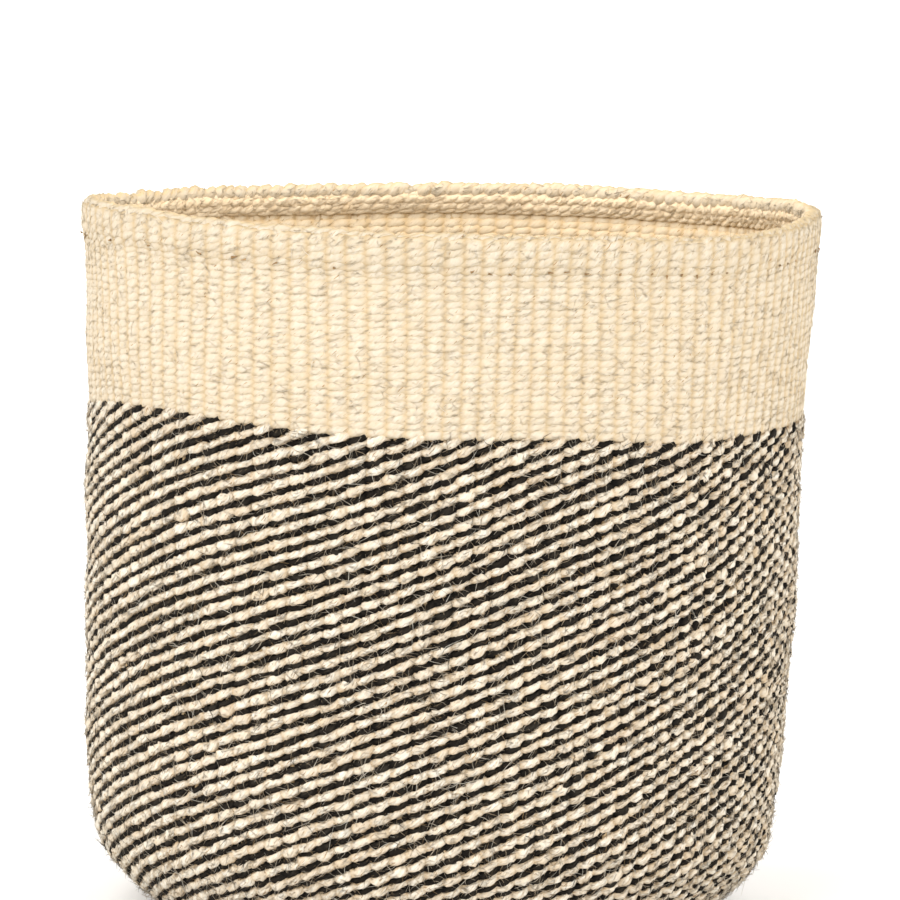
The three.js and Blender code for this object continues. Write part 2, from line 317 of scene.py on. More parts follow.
def weft_strand(half_turn, half_width, uneven):
    """The middle line of one strand, the outward normals and its section's two half sizes."""
    count = len(WAY)
    phase = PHASE + CROSSING_DRIFT + half_turn * math.pi
    swing = np.cos(phase + EARLY_CREST * np.abs(np.cos(phase)))
    wild = np.where(PLAIN, CALM, 1 + 0.5 * RIGHT)  # the plain zone is worked more evenly
    two_colour_reach = (STRAND_REACH, BLACK_REACH)[half_turn]
    reach = np.where(PLAIN, PLAIN_REACH, two_colour_reach) * (1 + wild * smooth_noise(count, SAMPLES, 0.12))
    out = reach * np.sign(swing) * np.abs(swing) ** np.where(PLAIN, 1.0, 0.8)
    out *= np.where(PLAIN & (out < 0), INSIDE_REACH, 1.0)
    flat = np.clip((BASE_RADIUS + FLAT_EDGE / 2 - WAY) / FLAT_EDGE, 0, 1)  # the base is beaten flat
    out *= 1 - 0.25 * flat
    late = phase - np.where(PLAIN, 0, LATE_CLIMB) * np.abs(np.cos(phase))
    climb = np.sin(late) - np.sin(3 * late) / 9
    rise = np.where(PLAIN, np.where(ZONE_OF == "hem", HEM_RISE, PLAIN_RISE), TWO_COLOUR_RISE)
    rise = rise / 1.11 * ROW_HEIGHT / LOWER_ROW
    rise *= 1 + smooth_noise(count, SAMPLES, 0.12)
    shift = wild * smooth_noise(count, SAMPLES, 0.17 * MM)
    shift = shift + wild * smooth_noise(count, 9 * SAMPLES, 0.16 * MM)
    hem = np.clip((WAY - way_at_height(HEM_BOTTOM - HEM_BULGE_START)) / HEM_BULGE_LENGTH, 0, 1)
    hem = hem**2 * (3 - 2 * hem)
    out = out * (1 - 0.25 * hem) + hem * HEM_BULGE * 0.8
    out = out + np.where(PLAIN, PLAIN_OUTWARD, (1 - half_turn) * NATURAL_OUTWARD * (1 - flat))
    centres, normals = place(WAY + rise * climb + shift, ANGLE, out)
    squeeze = 1 - np.where(PLAIN, PLAIN_SQUEEZE, SQUEEZE) * np.sin(phase) ** 2
    size = ROW_HEIGHT / LOWER_ROW * squeeze
    roughness = smooth_noise(count, SAMPLES, uneven) + smooth_noise(count, 2, 0.07)
    width = half_width * size * (1 + wild * roughness)
    depth = np.where(PLAIN, PLAIN_HALF_DEPTH, STRAND_HALF_DEPTH) * (1 - 0.15 * flat)
    roughness = smooth_noise(count, SAMPLES, 0.08) + smooth_noise(count, 2, 0.06)
    depth = depth * squeeze * (1 + wild * roughness)
    ends = np.clip(np.minimum(np.arange(count), np.arange(count)[::-1]) / 3, 0.05, 1)
    facing = out[:, None] + depth[:, None] * np.cos(np.arange(SIDES) / SIDES * TAU)
    inner = np.clip(0.5 - facing / (0.5 * MM), 0, 1)  # one inside the basket, where the colour is painted lighter
    return centres, normals, width * ends, depth * ends, RAGGED * wild, inner


def sweep(centres, normals, widths, depths, sides, closed, ragged=0.0):
    """The vertices of a strand swept along its middle line, as (samples, sides, 3)."""
    if closed:
        along = np.roll(centres, -1, 0) - np.roll(centres, 1, 0)
    else:
        along = np.gradient(centres, axis=0)
    along = unit(along)
    across = unit(np.cross(along, normals))
    outward = np.cross(across, along)
    turn = np.arange(sides) / sides * TAU
    rough = 1 + ragged * rng.uniform(-1, 1, (len(centres), sides, 1))
    high = np.sign(np.cos(turn)) * np.abs(np.cos(turn)) ** 0.7  # a little squarer than an ellipse
    wide = np.sign(np.sin(turn)) * np.abs(np.sin(turn)) ** 0.9
    ring = (
        outward[:, None] * (high[None, :, None] * depths[:, None, None])
        + across[:, None] * (wide[None, :, None] * widths[:, None, None])
    )
    return centres[:, None] + ring * rough


def add_tubes(name, tubes, material, nodes, closed=False, strips=2, capped=True):
    """One mesh of swept tubes. Each tube is (vertices, tone, rise, inner), with one value per sample, and
    takes so many strips of the map for baking. The Grain map runs along it in mm and once round it."""
    places, corners, sizes = [], [], []
    grain, bake, tones, rises, inners = [], [], [], [], []
    offset = 0
    lanes = len(tubes) * strips
    for number, (ring, tone, rise, inner) in enumerate(tubes):
        count, sides, _ = ring.shape
        last = count if closed else count - 1
        i, j = np.meshgrid(np.arange(last), np.arange(sides), indexing="ij")
        i, j = i.ravel(), j.ravel()
        ahead, beside = (i + 1) % count, (j + 1) % sides
        quads = np.stack([i * sides + j, ahead * sides + j, ahead * sides + beside, i * sides + beside], 1)
        places.append(ring.reshape(-1, 3))
        corners.append((quads + offset).ravel())
        sizes.append(np.full(len(quads), 4))
        centre = ring.mean(1)
        steps = np.linalg.norm(np.diff(centre, axis=0), axis=1)
        length = np.concatenate([[0], np.cumsum(steps)]) / MM + number * 37.0
        if closed:
            length = np.append(length, length[-1] + np.linalg.norm(centre[0] - centre[-1]) / MM)
        u = np.stack([length[i], length[i + 1], length[i + 1], length[i]], 1)
        v = np.stack([j, j, j + 1, j + 1], 1) / sides
        grain.append(np.stack([u, v], -1).reshape(-1, 2))
        lane = np.minimum(i * strips // last, strips - 1)
        first = lane * last / strips
        span = last / strips + 1
        bake_u = np.stack([i - first, i - first + 1, i - first + 1, i - first], 1) / span
        bake_v = (number * strips + lane)[:, None] + 0.04 + 0.92 * v
        bake.append(np.stack([bake_u, bake_v / lanes], -1).reshape(-1, 2))
        tones.append(np.repeat(tone, sides))
        rises.append(np.repeat(rise, sides))
        inners.append(inner.ravel() if inner.ndim == 2 else np.repeat(inner, sides))
        if capped and not closed:
            for end, order in ((0, np.arange(sides)[::-1]), (count - 1, np.arange(sides))):
                corners.append(end * sides + order + offset)
                sizes.append(np.array([sides]))
                grain.append(np.full((sides, 2), length[end]))
                edge = 0.02 + 0.96 * (end > 0)
                lane_of_end = number * strips + (strips - 1) * (end > 0)
                spot = np.stack([np.full(sides, edge), np.full(sides, (lane_of_end + 0.5) / lanes)], -1)
                bake.append(spot + 0.0004 * np.stack([np.cos(order), np.sin(order)], -1))
        offset += count * sides
    return add_mesh(
        name,
        np.concatenate(places),
        np.concatenate(corners),
        np.concatenate(sizes),
        {"Grain": np.concatenate(grain), "OFBake": np.concatenate(bake)},
        {"tone": np.concatenate(tones), "rise": np.concatenate(rises), "inner": np.concatenate(inners)},
        material,
        nodes,
    )


def add_mesh(name, places, corners, sizes, maps, values, material, nodes):
    """A mesh object from arrays, riding on the frame and standing for the nodes."""
    mesh = bpy.data.meshes.new(name)
    mesh.vertices.add(len(places))
    mesh.vertices.foreach_set("co", places.astype(np.float32).ravel())
    mesh.loops.add(len(corners))
    mesh.loops.foreach_set("vertex_index", corners.astype(np.int32))
    mesh.polygons.add(len(sizes))
    starts = np.concatenate([[0], np.cumsum(sizes)[:-1]])
    mesh.polygons.foreach_set("loop_start", starts.astype(np.int32))
    mesh.update(calc_edges=True)
    mesh.polygons.foreach_set("use_smooth", np.ones(len(sizes), bool))
    for label, spots in maps.items():
        layer = mesh.uv_layers.new(name=label)
        layer.data.foreach_set("uv", spots.astype(np.float32).ravel())
    for label, numbers in values.items():
        layer = mesh.attributes.new(label, "FLOAT", "POINT")
        layer.data.foreach_set("value", numbers.astype(np.float32))
    mesh.materials.append(material)
    mesh.validate()
    piece = bpy.data.objects.new(name, mesh)
    bpy.context.scene.collection.objects.link(piece)
    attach(piece, "root")
    if nodes:
        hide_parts(*nodes)
    return piece


class Shading:
    """A few node chains that the fibre materials share."""

    def __init__(self, name):
        self.material = bpy.data.materials.new(name)
        self.material.use_nodes = True
        self.tree = self.material.node_tree
        self.tree.nodes.clear()
        self.grain = self.node("ShaderNodeUVMap")
        self.grain.uv_map = "Grain"

    def node(self, kind):
        return self.tree.nodes.new(kind)

    def link(self, value, socket):
        if isinstance(value, (int, float)):
            socket.default_value = value
        elif isinstance(value, tuple):
            socket.default_value = (*value, 1)
        else:
            self.tree.links.new(value, socket)

    def math(self, operation, *values):
        node = self.node("ShaderNodeMath")
        node.operation = operation
        for value, socket in zip(values, node.inputs):
            self.link(value, socket)
        return node.outputs[0]

    def attribute(self, name):
        node = self.node("ShaderNodeAttribute")
        node.attribute_name = name
        return node.outputs["Fac"]

    def streaks(self, cells_per_mm, cells_around, slant, detail, seed=0.0):
        """Noise drawn out along the strand, slanting with its twist."""
        split = self.node("ShaderNodeSeparateXYZ")
        self.link(self.grain.outputs[0], split.inputs[0])
        slanted = self.math("MULTIPLY_ADD", split.outputs[0], slant, split.outputs[1])
        turn = self.math("MULTIPLY", slanted, TAU)
        joined = self.node("ShaderNodeCombineXYZ")
        radius = cells_around / TAU
        self.link(self.math("MULTIPLY", self.math("SINE", turn), radius), joined.inputs[0])
        self.link(self.math("MULTIPLY", self.math("COSINE", turn), radius), joined.inputs[1])
        self.link(self.math("MULTIPLY_ADD", split.outputs[0], cells_per_mm, seed), joined.inputs[2])
        noise = self.node("ShaderNodeTexNoise")
        self.link(1.0, noise.inputs["Scale"])
        self.link(detail, noise.inputs["Detail"])
        self.link(0.6, noise.inputs["Roughness"])
        self.link(joined.outputs[0], noise.inputs["Vector"])
        return noise.outputs[0]

    def crown(self):
        """One on the faces of a strand that look out of the wall or into it, nought on its edges."""
        split = self.node("ShaderNodeSeparateXYZ")
        self.link(self.grain.outputs[0], split.inputs[0])
        return self.math("ABSOLUTE", self.math("COSINE", self.math("MULTIPLY", split.outputs[1], TAU)))

    def ramp(self, value, low, high, bottom=0.0, top=1.0):
        node = self.node("ShaderNodeMapRange")
        for label, number in (("From Min", low), ("From Max", high), ("To Min", bottom), ("To Max", top)):
            node.inputs[label].default_value = number
        self.link(value, node.inputs["Value"])
        return node.outputs[0]

    def mixed(self, share, first, second):
        node = self.node("ShaderNodeMix")
        node.data_type = "RGBA"
        self.link(share, node.inputs[0])
        self.link(first, node.inputs[6])
        self.link(second, node.inputs[7])
        return node.outputs[2]

    def product(self, first, second):
        node = self.node("ShaderNodeVectorMath")
        node.operation = "MULTIPLY"
        self.link(first, node.inputs[0])
        self.link(second, node.inputs[1])
        return node.outputs[0]

    def finish(self, colour, height, roughness, bump):
        output = self.node("ShaderNodeOutputMaterial")
        shader = self.node("ShaderNodeBsdfPrincipled")
        self.link(shader.outputs[0], output.inputs[0])
        self.link(roughness, shader.inputs["Roughness"])
        self.link(0.1, shader.inputs["Specular IOR Level"])
        self.link(colour, shader.inputs["Base Color"])
        relief = self.node("ShaderNodeBump")
        self.link(1.0, relief.inputs["Strength"])
        self.link(bump, relief.inputs["Distance"])
        self.link(height, relief.inputs["Height"])
        self.link(relief.outputs[0], shader.inputs["Normal"])
        return self.material


INSIDE_PAINTED_LIGHT = (0.79, 0.75, 0.68)  # painted light: the strands seen from inside the basket are painted lighter than outside
DIVE_PAINTED_SHADE = (0.945, 0.89, 0.81)  # painted shade on a strand where it dives between two warps
FLECK_EDGE = 0.06  # how softly a fleck ends, as a part of the noise's range


def sisal(
    name, pale, middle, dark, fleck, groove_shade, flecks,
    bump=0.45 * MM, ends=1.0, edges=(0.85, 0.15), shade=0.8,
):
    """Twisted plant fibre: streaks along the strand, blotches and flecks, with painted shade on its edges
    and where it dives, standing for the shade in the grooves between strands. The colours are multiplied
    by the shade outside the basket and by a lighter tint inside it, painted light on the same strands."""
    s = Shading(name)
    fine = s.streaks(0.30, 15, 0.05, 2.0)
    coarse = s.streaks(0.22, 6, 0.05, 2.0, 40.0)
    blotch = s.streaks(0.05, 1.5, 0.0, 2.0, 80.0)
    spots = s.streaks(0.35, 18, 0.05, 1.0, 120.0)
    colour = s.mixed(s.ramp(fine, 0.42, 0.60), pale, middle)
    colour = s.mixed(s.ramp(coarse, 0.52, 0.76, 0.0, 0.9), colour, dark)
    colour = s.mixed(s.ramp(blotch, 0.5, 0.8, 0.0, 0.5), colour, dark)
    colour = s.mixed(s.ramp(s.attribute("tone"), 0.4, 1.6, 0.0, 0.8), colour, dark)
    # Painted shade: the groove colour on a strand's edges and, by ends, where it dives between warps
    crown = s.math("MULTIPLY", s.crown(), s.ramp(s.attribute("rise"), 0.0, 1.0, 1.0 - ends, 1.0))
    crown = s.math("ADD", crown, s.ramp(coarse, 0.3, 0.7, -0.2, 0.2))
    colour = s.mixed(s.ramp(crown, *edges), colour, groove_shade)
    colour = s.mixed(s.ramp(spots, flecks, flecks + FLECK_EDGE), colour, fleck)
    # Painted light: the inside of the basket is lighter than the outside of the same strands
    colour = s.product(colour, s.mixed(s.attribute("inner"), (shade, shade, shade), INSIDE_PAINTED_LIGHT))
    # Painted shade where a strand dives between two warps
    colour = s.product(colour, s.mixed(s.ramp(s.attribute("rise"), 0.0, 0.8), DIVE_PAINTED_SHADE, (1.0, 1.0, 1.0)))
    return s.finish(colour, s.math("ADD", fine, coarse), 0.75, bump)


NATURAL = sisal(
    "natural_sisal", (0.95, 0.85, 0.69), (0.92, 0.79, 0.61), (0.85, 0.70, 0.49), (0.50, 0.32, 0.15),
    (0.84, 0.67, 0.43), 0.70, ends=0.45, edges=(0.90, 0.30), shade=0.56, bump=0.3 * MM,
)
BAND_NATURAL = sisal(
    "natural_sisal_of_band", (0.94, 0.89, 0.78), (0.86, 0.76, 0.60), (0.68, 0.52, 0.34), (0.36, 0.22, 0.10),
    (0.70, 0.53, 0.34), 0.66, ends=0.40, edges=(0.82, 0.15), shade=0.695, bump=1.0 * MM,
)
HEM = sisal(
    "hem_sisal", (0.95, 0.85, 0.69), (0.91, 0.79, 0.61), (0.84, 0.68, 0.47), (0.50, 0.30, 0.13),
    (0.83, 0.66, 0.42), 0.70, ends=0.5, edges=(0.88, 0.3), shade=0.55, bump=0.35 * MM,
)
# The rows inside the rim: the hem's colours painted lighter, light grooves included, as painted light
LIT_ROPE = sisal(
    "rope_sisal_painted_light", (0.95, 0.79, 0.57), (0.91, 0.735, 0.51), (0.84, 0.63, 0.38), (0.50, 0.28, 0.10),
    (0.96, 0.78, 0.52), 0.70, edges=(0.85, 0.25), shade=0.86, bump=0.35 * MM,
)
BLACK = sisal(
    "black_sisal", (0.006, 0.0042, 0.0026), (0.014, 0.010, 0.006), (0.040, 0.034, 0.026),
    (0.12, 0.09, 0.055), (0.004, 0.003, 0.002), 0.68, bump=0.8 * MM,
)
WARP = sisal(
    "warp_sisal", (0.76, 0.60, 0.40), (0.68, 0.52, 0.32), (0.58, 0.42, 0.24), (0.3, 0.2, 0.1),
    (0.58, 0.42, 0.24), 0.8,
)


def row_runs(zone, most):
    """The rows of a zone in runs of so many rows at most."""
    numbers = [n for n, row in enumerate(ROWS) if row[3] == zone]
    parts = math.ceil(len(numbers) / most)
    return [numbers[len(numbers) * p // parts : len(numbers) * (p + 1) // parts] for p in range(parts)]


def weft_piece(name, values, mine, material, nodes):
    """A run of rows of one strand."""
    first = np.searchsorted(ROW_OF, mine[0])
    last = min(np.searchsorted(ROW_OF, mine[-1], side="right") + 1, len(ROW_OF))
    tube = [value[first:last] for value in values]
    return add_tubes(name, [tube], material, nodes, strips=2 * len(mine), capped=False)


def weft():
    """Both strands of the weft in every zone."""
    zone_nodes = {
        "base": ["base_weft_underside", "base_weft_inside"],
        "foot_low": ["foot_low_weft_outside", "foot_low_weft_inside"],
        "foot_high": ["foot_high_weft_outside", "foot_high_weft_inside"],
        "lower": ["lower_weft_outside", "lower_weft_inside"],
        "upper": ["upper_weft_outside", "upper_weft_inside"],
        "hem": ["hem_band"],
    }
    most_rows = 16  # in a piece
    strands = []
    for half_turn, two_colour_width, uneven in ((0, NATURAL_HALF_WIDTH, 0.13), (1, BLACK_HALF_WIDTH, 0.16)):
        change = (NATURAL_ON_LEFT * LEFT, BLACK_ON_LEFT * LEFT + BLACK_ON_RIGHT * RIGHT)[half_turn]
        half_width = np.where(PLAIN, PLAIN_HALF_WIDTH, two_colour_width * (1 + change))
        centres, normals, width, depth, ragged, inner = weft_strand(half_turn, half_width, uneven)
        rings = sweep(centres, normals, width, depth, SIDES, False, ragged[:, None, None])
        rings[..., 2] = np.maximum(rings[..., 2], FLOOR_CLEARANCE)
        tone = rng.normal(0.5, 0.3, len(WAY) // (SAMPLES * 2) + 2)
        tone = np.interp(np.arange(len(WAY)) / (SAMPLES * 2), np.arange(len(tone)), tone)
        swing = np.cos(PHASE + half_turn * math.pi)
        values = (rings, np.clip(tone, 0, 1.5), np.abs(swing), inner)
        strands.append((centres, normals, width, depth))
        for zone, nodes in zone_nodes.items():
            two_colour = zone not in ("upper", "hem")
            black = half_turn == 1 and two_colour
            material = BLACK if black else {"hem": HEM, "upper": NATURAL}.get(zone, BAND_NATURAL)
            colour = "black" if black else ("natural" if two_colour else ("first", "second")[half_turn])
            runs = row_runs(zone, most_rows)
            for part, mine in enumerate(runs):
                label = f"{zone}_weft_{colour}"
                if len(runs) > 1:
                    label += f"_{part + 1}"
                weft_piece(label, values, mine, material, nodes)
    return strands


FOUNDING_START, ADDED_START = 2 * MM, 41 * MM  # where the two kinds of warp begin on the base
WARP_HALF_THICKNESS = 0.8 * MM
WARP_END = 1.5 * MM  # how far the warps run up into the rim cord


def warp_cords():
    """The warps in the middle of the wall, from the base to the rim. Every third is a founding one."""
    tubes = []
    top = way_at_height(RIM_CORD_BOTTOM) + WARP_END
    for number in range(WARPS):
        start = FOUNDING_START if number % 3 == 0 else ADDED_START
        way = np.concatenate([np.linspace(start, BASE_RADIUS, 4)[:-1], np.linspace(BASE_RADIUS, top, 34)])
        angle = warp_angle(np.full(len(way), number / WARPS), way)
        centres, normals = place(way, angle, 0 * way)
        size = np.full(len(way), WARP_HALF_THICKNESS)
        rings = sweep(centres, normals, size * 1.3, size, 5, False, ragged=0.08)
        tubes.append((rings, np.full(len(way), rng.uniform(0, 1)), np.ones(len(way)), np.ones(len(way))))
    nodes = ["founding_warps"] + [f"added_warp_{n:02d}" for n in range(1, 42)]
    add_tubes("warp_cords", tubes, WARP, nodes, strips=1)


def smooth_wave(count, amount, step=8):
    """Smooth random values round a closed ring."""
    knots = max(count // step, 8)
    values = rng.normal(0, amount, knots)
    return np.interp(np.arange(count) / count * knots, np.arange(knots + 1), np.append(values, values[0]))


PLIES = 2  # of the ropes at the rim
ROPE_SAMPLES = 12  # of a ply in one turn of its twist
ROPE_SIDES = 8


def rope_ring(name, height, out, lay, ply_radius, turns, nodes, on_edge=False):
    """A ring of twisted rope at a height, so far out of the wall's middle. The lay is how far a ply
    swings across the wall and up and down. The ring on the edge is seen from both sides."""
    count = turns * ROPE_SAMPLES
    share = np.arange(count) / count
    drift = smooth_wave(count, 0.25, 60)
    sink = smooth_wave(count, 0.25 * MM, 30)
    tubes, lines = [], []
    for ply in range(PLIES):
        phase = TAU * (share * turns + ply / PLIES) + smooth_wave(count, 0.22) + drift
        up = lay[1] * np.sin(phase) + sink
        across = lay[0] * np.cos(phase)
        angle = warp_angle(share, np.full(count, way_at_height(height)))
        centres, normals = place(way_at_height(height + up), angle, out + across)
        size = ply_radius * (1 + smooth_wave(count, 0.13, 6) + smooth_wave(count, 0.08, 2))
        rings = sweep(centres, normals, size * 1.12, size * 0.88, ROPE_SIDES, True, ragged=0.12)
        tone = np.clip(0.4 + smooth_wave(count, 0.35), 0, 1.5)
        facing = across[:, None] + size[:, None] * np.cos(np.arange(ROPE_SIDES) / ROPE_SIDES * TAU)
        # On the edge, the side that faces into the basket is painted partly lighter: painted light
        inner = 0.6 * np.clip(0.4 - facing / (1.5 * MM), 0, 1) if on_edge else np.zeros(count)
        tubes.append((rings, tone, np.ones(count), inner))
        lines.append((centres, normals * np.where(np.cos(phase) > 0, 1, -1)[:, None], size))
    add_tubes(name, tubes, HEM if on_edge else LIT_ROPE, nodes, closed=True, strips=4)
    return [np.concatenate(part) for part in zip(*lines)]


HEM_ROPES = (  # node, rope, turns of the twist, how far below the top, how far out of the node's middle
    ("hem_row_top", "hem_rope_top", 83, 6.9 * MM, 0.1 * MM),
    ("hem_row_bottom", "hem_rope_bottom", 80, 9.4 * MM, 0.95 * MM),
)
HEM_ROW_RADIUS = 1.5 * MM
HEM_FILLINGS = (  # how far below the top, how far inward of the wall's middle
    (5.3 * MM, 2.1 * MM), (8.1 * MM, 2.0 * MM), (11.4 * MM, 1.1 * MM),
)


def rim():
    """The cord along the top edge, the rope-like rows inside it and the fibre that fills their gaps."""
    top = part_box("rim_cord")[1].z
    edge = (1.4 * MM, 0.8 * MM)
    ropes = [
        rope_ring("rim_rope", top - 3.3 * MM, -0.9 * MM, edge, 2.3 * MM, 81, ["rim_cord"], on_edge=True),
    ]
    for name, rope, turns, below, raised in HEM_ROPES:
        height = top - below
        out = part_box(name)[1].x - HEM_ROW_RADIUS - (wall_radius(height) - MIDDLE_DEPTH)
        lay = (0.65 * MM, 0.65 * MM)
        ropes.append(rope_ring(rope, height, out + raised, lay, 1.45 * MM, turns, [name]))
    for number, (below, inward) in enumerate(HEM_FILLINGS):
        lay = (0.5 * MM, 0.5 * MM)
        rope_ring(f"hem_filling_{number + 1}", top - below, -inward, lay, 1.2 * MM, 79, [])
    return ropes


PACKING_START = 3 * MM  # from the middle of the base
PACKING_END = 4 * MM  # below the top of the rim
PACKING_HALF_THICKNESS = 0.35 * MM


def packing():
    """The dense fibre between the warps, in the middle of the wall, which lets no light through."""
    around = 180
    change = way_at_height(COLOUR_CHANGE)
    top = way_at_height(HEIGHT - PACKING_END)
    for name, low, high, material, slot in (
        ("packed_fibre_lower", PACKING_START, change, BLACK, "black_sisal"),
        ("packed_fibre_upper", change, top, WARP, "warp_sisal"),
    ):
        way = np.linspace(low, high, 60)
        share = np.arange(around) / around
        rings = []
        for side in (PACKING_HALF_THICKNESS, -PACKING_HALF_THICKNESS):
            for here in way if side > 0 else way[::-1]:
                rings.append(place(np.full(around, here), TAU * share, np.full(around, side))[0])
        ring = np.array(rings).transpose(1, 0, 2)
        tube = (ring, np.full(around, 0.5), np.ones(around), np.ones(around))
        add_tubes(name, [tube], material, [], closed=True, strips=1)


FIBRE_STEPS = 2
FIBRE_SIDES = 3
FIBRES_A_PIECE = 15000
LOWEST_FIBRE = 0.3 * MM  # above the floor
HIGHEST_FIBRE = 9 * MM  # above the top of the round basket


def add_fibres(name, lines, sizes, tones, material):
    """Thin tapering fibres, each with a cell of its own in the bake atlas."""
    for part in range(math.ceil(len(lines) / FIBRES_A_PIECE)):
        chosen = slice(part * FIBRES_A_PIECE, (part + 1) * FIBRES_A_PIECE)
        line, size, tone = lines[chosen], sizes[chosen], tones[chosen]
        count, rings = line.shape[:2]
        along = unit(np.gradient(line, axis=1))
        side = unit(np.cross(along, (0.31, 0.23, 0.92)))
        up = np.cross(side, along)
        turn = np.arange(FIBRE_SIDES) / FIBRE_SIDES * TAU
        section = side[:, :, None] * np.cos(turn)[:, None] + up[:, :, None] * np.sin(turn)[:, None]
        places = line[:, :, None] + section * size[:, :, None, None]
        i, j = np.meshgrid(np.arange(rings - 1), np.arange(FIBRE_SIDES), indexing="ij")
        i, j = i.ravel(), j.ravel()
        beside = (j + 1) % FIBRE_SIDES
        here, ahead = i * FIBRE_SIDES, (i + 1) * FIBRE_SIDES
        quad = np.stack([here + j, ahead + j, ahead + beside, here + beside], 1)
        corners = quad[None] + (np.arange(count) * rings * FIBRE_SIDES)[:, None, None]
        u = np.stack([i, i + 1, i + 1, i], 1) / (rings - 1)
        v = np.stack([j, j, j + 1, j + 1], 1) / FIBRE_SIDES
        length = np.linalg.norm(line[:, -1] - line[:, 0], axis=1) / MM
        start = rng.uniform(0, 500, count)
        mm_along = start[:, None, None] + u * length[:, None, None]
        grain = np.stack([mm_along, np.broadcast_to(v, (count, *v.shape))], -1)
        cells = math.ceil(math.sqrt(count))
        column, row = np.arange(count) % cells, np.arange(count) // cells
        bake_u = (column[:, None, None] + 0.08 + 0.84 * u) / cells
        bake_v = (row[:, None, None] + 0.08 + 0.84 * v) / cells
        bake = np.stack([bake_u, bake_v], -1)
        label = f"{name}_{part + 1}"
        add_mesh(
            label, places.reshape(-1, 3), corners.ravel(), np.full(count * len(quad), 4),
            {"Grain": grain.reshape(-1, 2), "OFBake": bake.reshape(-1, 2)},
            {"tone": np.repeat(tone, rings * FIBRE_SIDES), "rise": np.ones(count * rings * FIBRE_SIDES)},
            material, [],
        )


def stray_lines(start, along, normal, shape, scale, lift, stray):
    """Fibres that start at the points and run off along the strand, as (fibres, steps, 3). Shape and
    scale are those of the gamma distribution that their lengths in mm come from."""
    number = len(start)
    across = np.cross(along, normal)
    heading = along * rng.choice([-1, 1], (number, 1)) * rng.uniform(0.3, 1.2, (number, 1))
    sideways = across * rng.normal(0, stray, (number, 1))
    heading += sideways + normal * rng.uniform(-0.3 * lift, lift, (number, 1))
    heading = unit(heading)
    bend = np.cross(heading, normal) * rng.normal(0, 0.8, (number, 1))
    bend -= normal * rng.uniform(0, 1.2 * lift, (number, 1))
    length = (np.minimum(rng.gamma(shape, scale, (number, 1, 1)), 3 * shape * scale) + 1.2) * MM
    share = np.linspace(0, 1, FIBRE_STEPS + 1)[None, :, None]
    lines = start[:, None] + heading[:, None] * length * share + bend[:, None] * length * share**2 / 2
    lines[..., 2] = np.clip(lines[..., 2], LOWEST_FIBRE, HEIGHT + HIGHEST_FIBRE)
    return lines


def fibre_sizes(number, thick):
    """Half thicknesses that taper towards the tip."""
    taper = 1 - 0.7 * np.linspace(0, 1, FIBRE_STEPS + 1)
    return thick * MM * taper * rng.uniform(0.6, 1.2, (number, 1))


def loose_fibres(strands, ropes):
    """Stray fibres: long thin ones that stand off the strands, and short ones that lie along them."""
    pale = sisal(
        "loose_natural_sisal", (0.92, 0.88, 0.78), (0.84, 0.76, 0.62), (0.68, 0.54, 0.36),
        (0.36, 0.22, 0.10), (0.92, 0.88, 0.78), 0.70,
    )
    brown = sisal(
        "brown_hairs", (0.50, 0.34, 0.18), (0.40, 0.26, 0.13), (0.26, 0.16, 0.08), (0.1, 0.06, 0.03),
        (0.5, 0.34, 0.18), 0.8,
    )
    natural, black = "natural_sisal", "black_sisal"
    kinds = (
        # name, strand, where, count, shape and scale, half thickness in mm, lift, stray, material, slot
        ("long_fibres_natural", 0, ~PLAIN, 5500, (3.0, 1.9), 0.14, 0.45, 0.9, pale, natural),
        ("long_fibres_first", 0, PLAIN, 900, (3.0, 1.5), 0.11, 0.35, 0.8, pale, natural),
        ("brown_hairs", 0, ~PLAIN, 9000, (2.5, 0.9), 0.11, 0.2, 0.8, brown, natural),
        ("long_fibres_black", 1, ~PLAIN, 4500, (2.5, 1.0), 0.12, 0.6, 0.9, BLACK, black),
        ("short_fibres_natural", 0, ~PLAIN, 56000, (3.0, 0.7), 0.18, 0.22, 0.75, BAND_NATURAL, natural),
        ("short_fibres_black", 1, ~PLAIN, 26000, (3.0, 0.7), 0.16, 0.30, 0.8, BLACK, black),
        ("short_fibres_first", 0, PLAIN, 12000, (3.0, 0.8), 0.12, 0.08, 0.35, NATURAL, natural),
        ("short_fibres_second", 1, PLAIN, 12000, (3.0, 0.8), 0.12, 0.08, 0.35, NATURAL, natural),
    )
    for name, which, where, number, (shape, scale), thick, lift, stray, material, slot in kinds:
        centres, normals, width, depth = strands[which]
        outside = np.cos(PHASE + which * math.pi)
        allowed = where & ((outside > 0.2) | (rng.random(len(outside)) < 0.03))
        roots = rng.choice(np.flatnonzero(allowed[2:-2]) + 2, number)
        along = unit(centres[roots + 1] - centres[roots - 1])
        normal = normals[roots] * np.sign(outside[roots])[:, None]
        aside = rng.choice([-1, 1], (number, 1)) * (1 - 0.7 * rng.uniform(0, 1, (number, 1)) ** 2)
        start = centres[roots] + along * rng.uniform(-0.6, 0.6, (number, 1)) * MM
        start += normal * depth[roots][:, None] * np.sqrt(1 - (0.85 * aside) ** 2)
        start += np.cross(along, normal) * width[roots][:, None] * 0.85 * aside
        lines = stray_lines(start, along, normal, shape, scale, lift, stray)
        sizes = fibre_sizes(number, thick)
        add_fibres(name, lines, sizes, rng.choice((0, 0.6, 1.8), number), material)
    for name, (centres, normals, size) in zip(("rim", "hem_top", "hem_bottom"), ropes):
        number = 3000
        roots = rng.choice(np.arange(2, len(centres) - 2), number)
        along = unit(centres[roots + 1] - centres[roots - 1])
        turn = rng.uniform(-1.2, 1.2, (number, 1))
        normal = normals[roots] * np.cos(turn) + np.cross(along, normals[roots]) * np.sin(turn)
        start = centres[roots] + normal * size[roots][:, None] * 0.95
        lines = stray_lines(start, along, normal, 3.0, 0.7, 0.06, 0.5)
        material = HEM if name == "rim" else LIT_ROPE
        sizes = fibre_sizes(number, 0.13)
        add_fibres(f"{name}_fibres", lines, sizes, rng.uniform(0, 1.6, number), material)


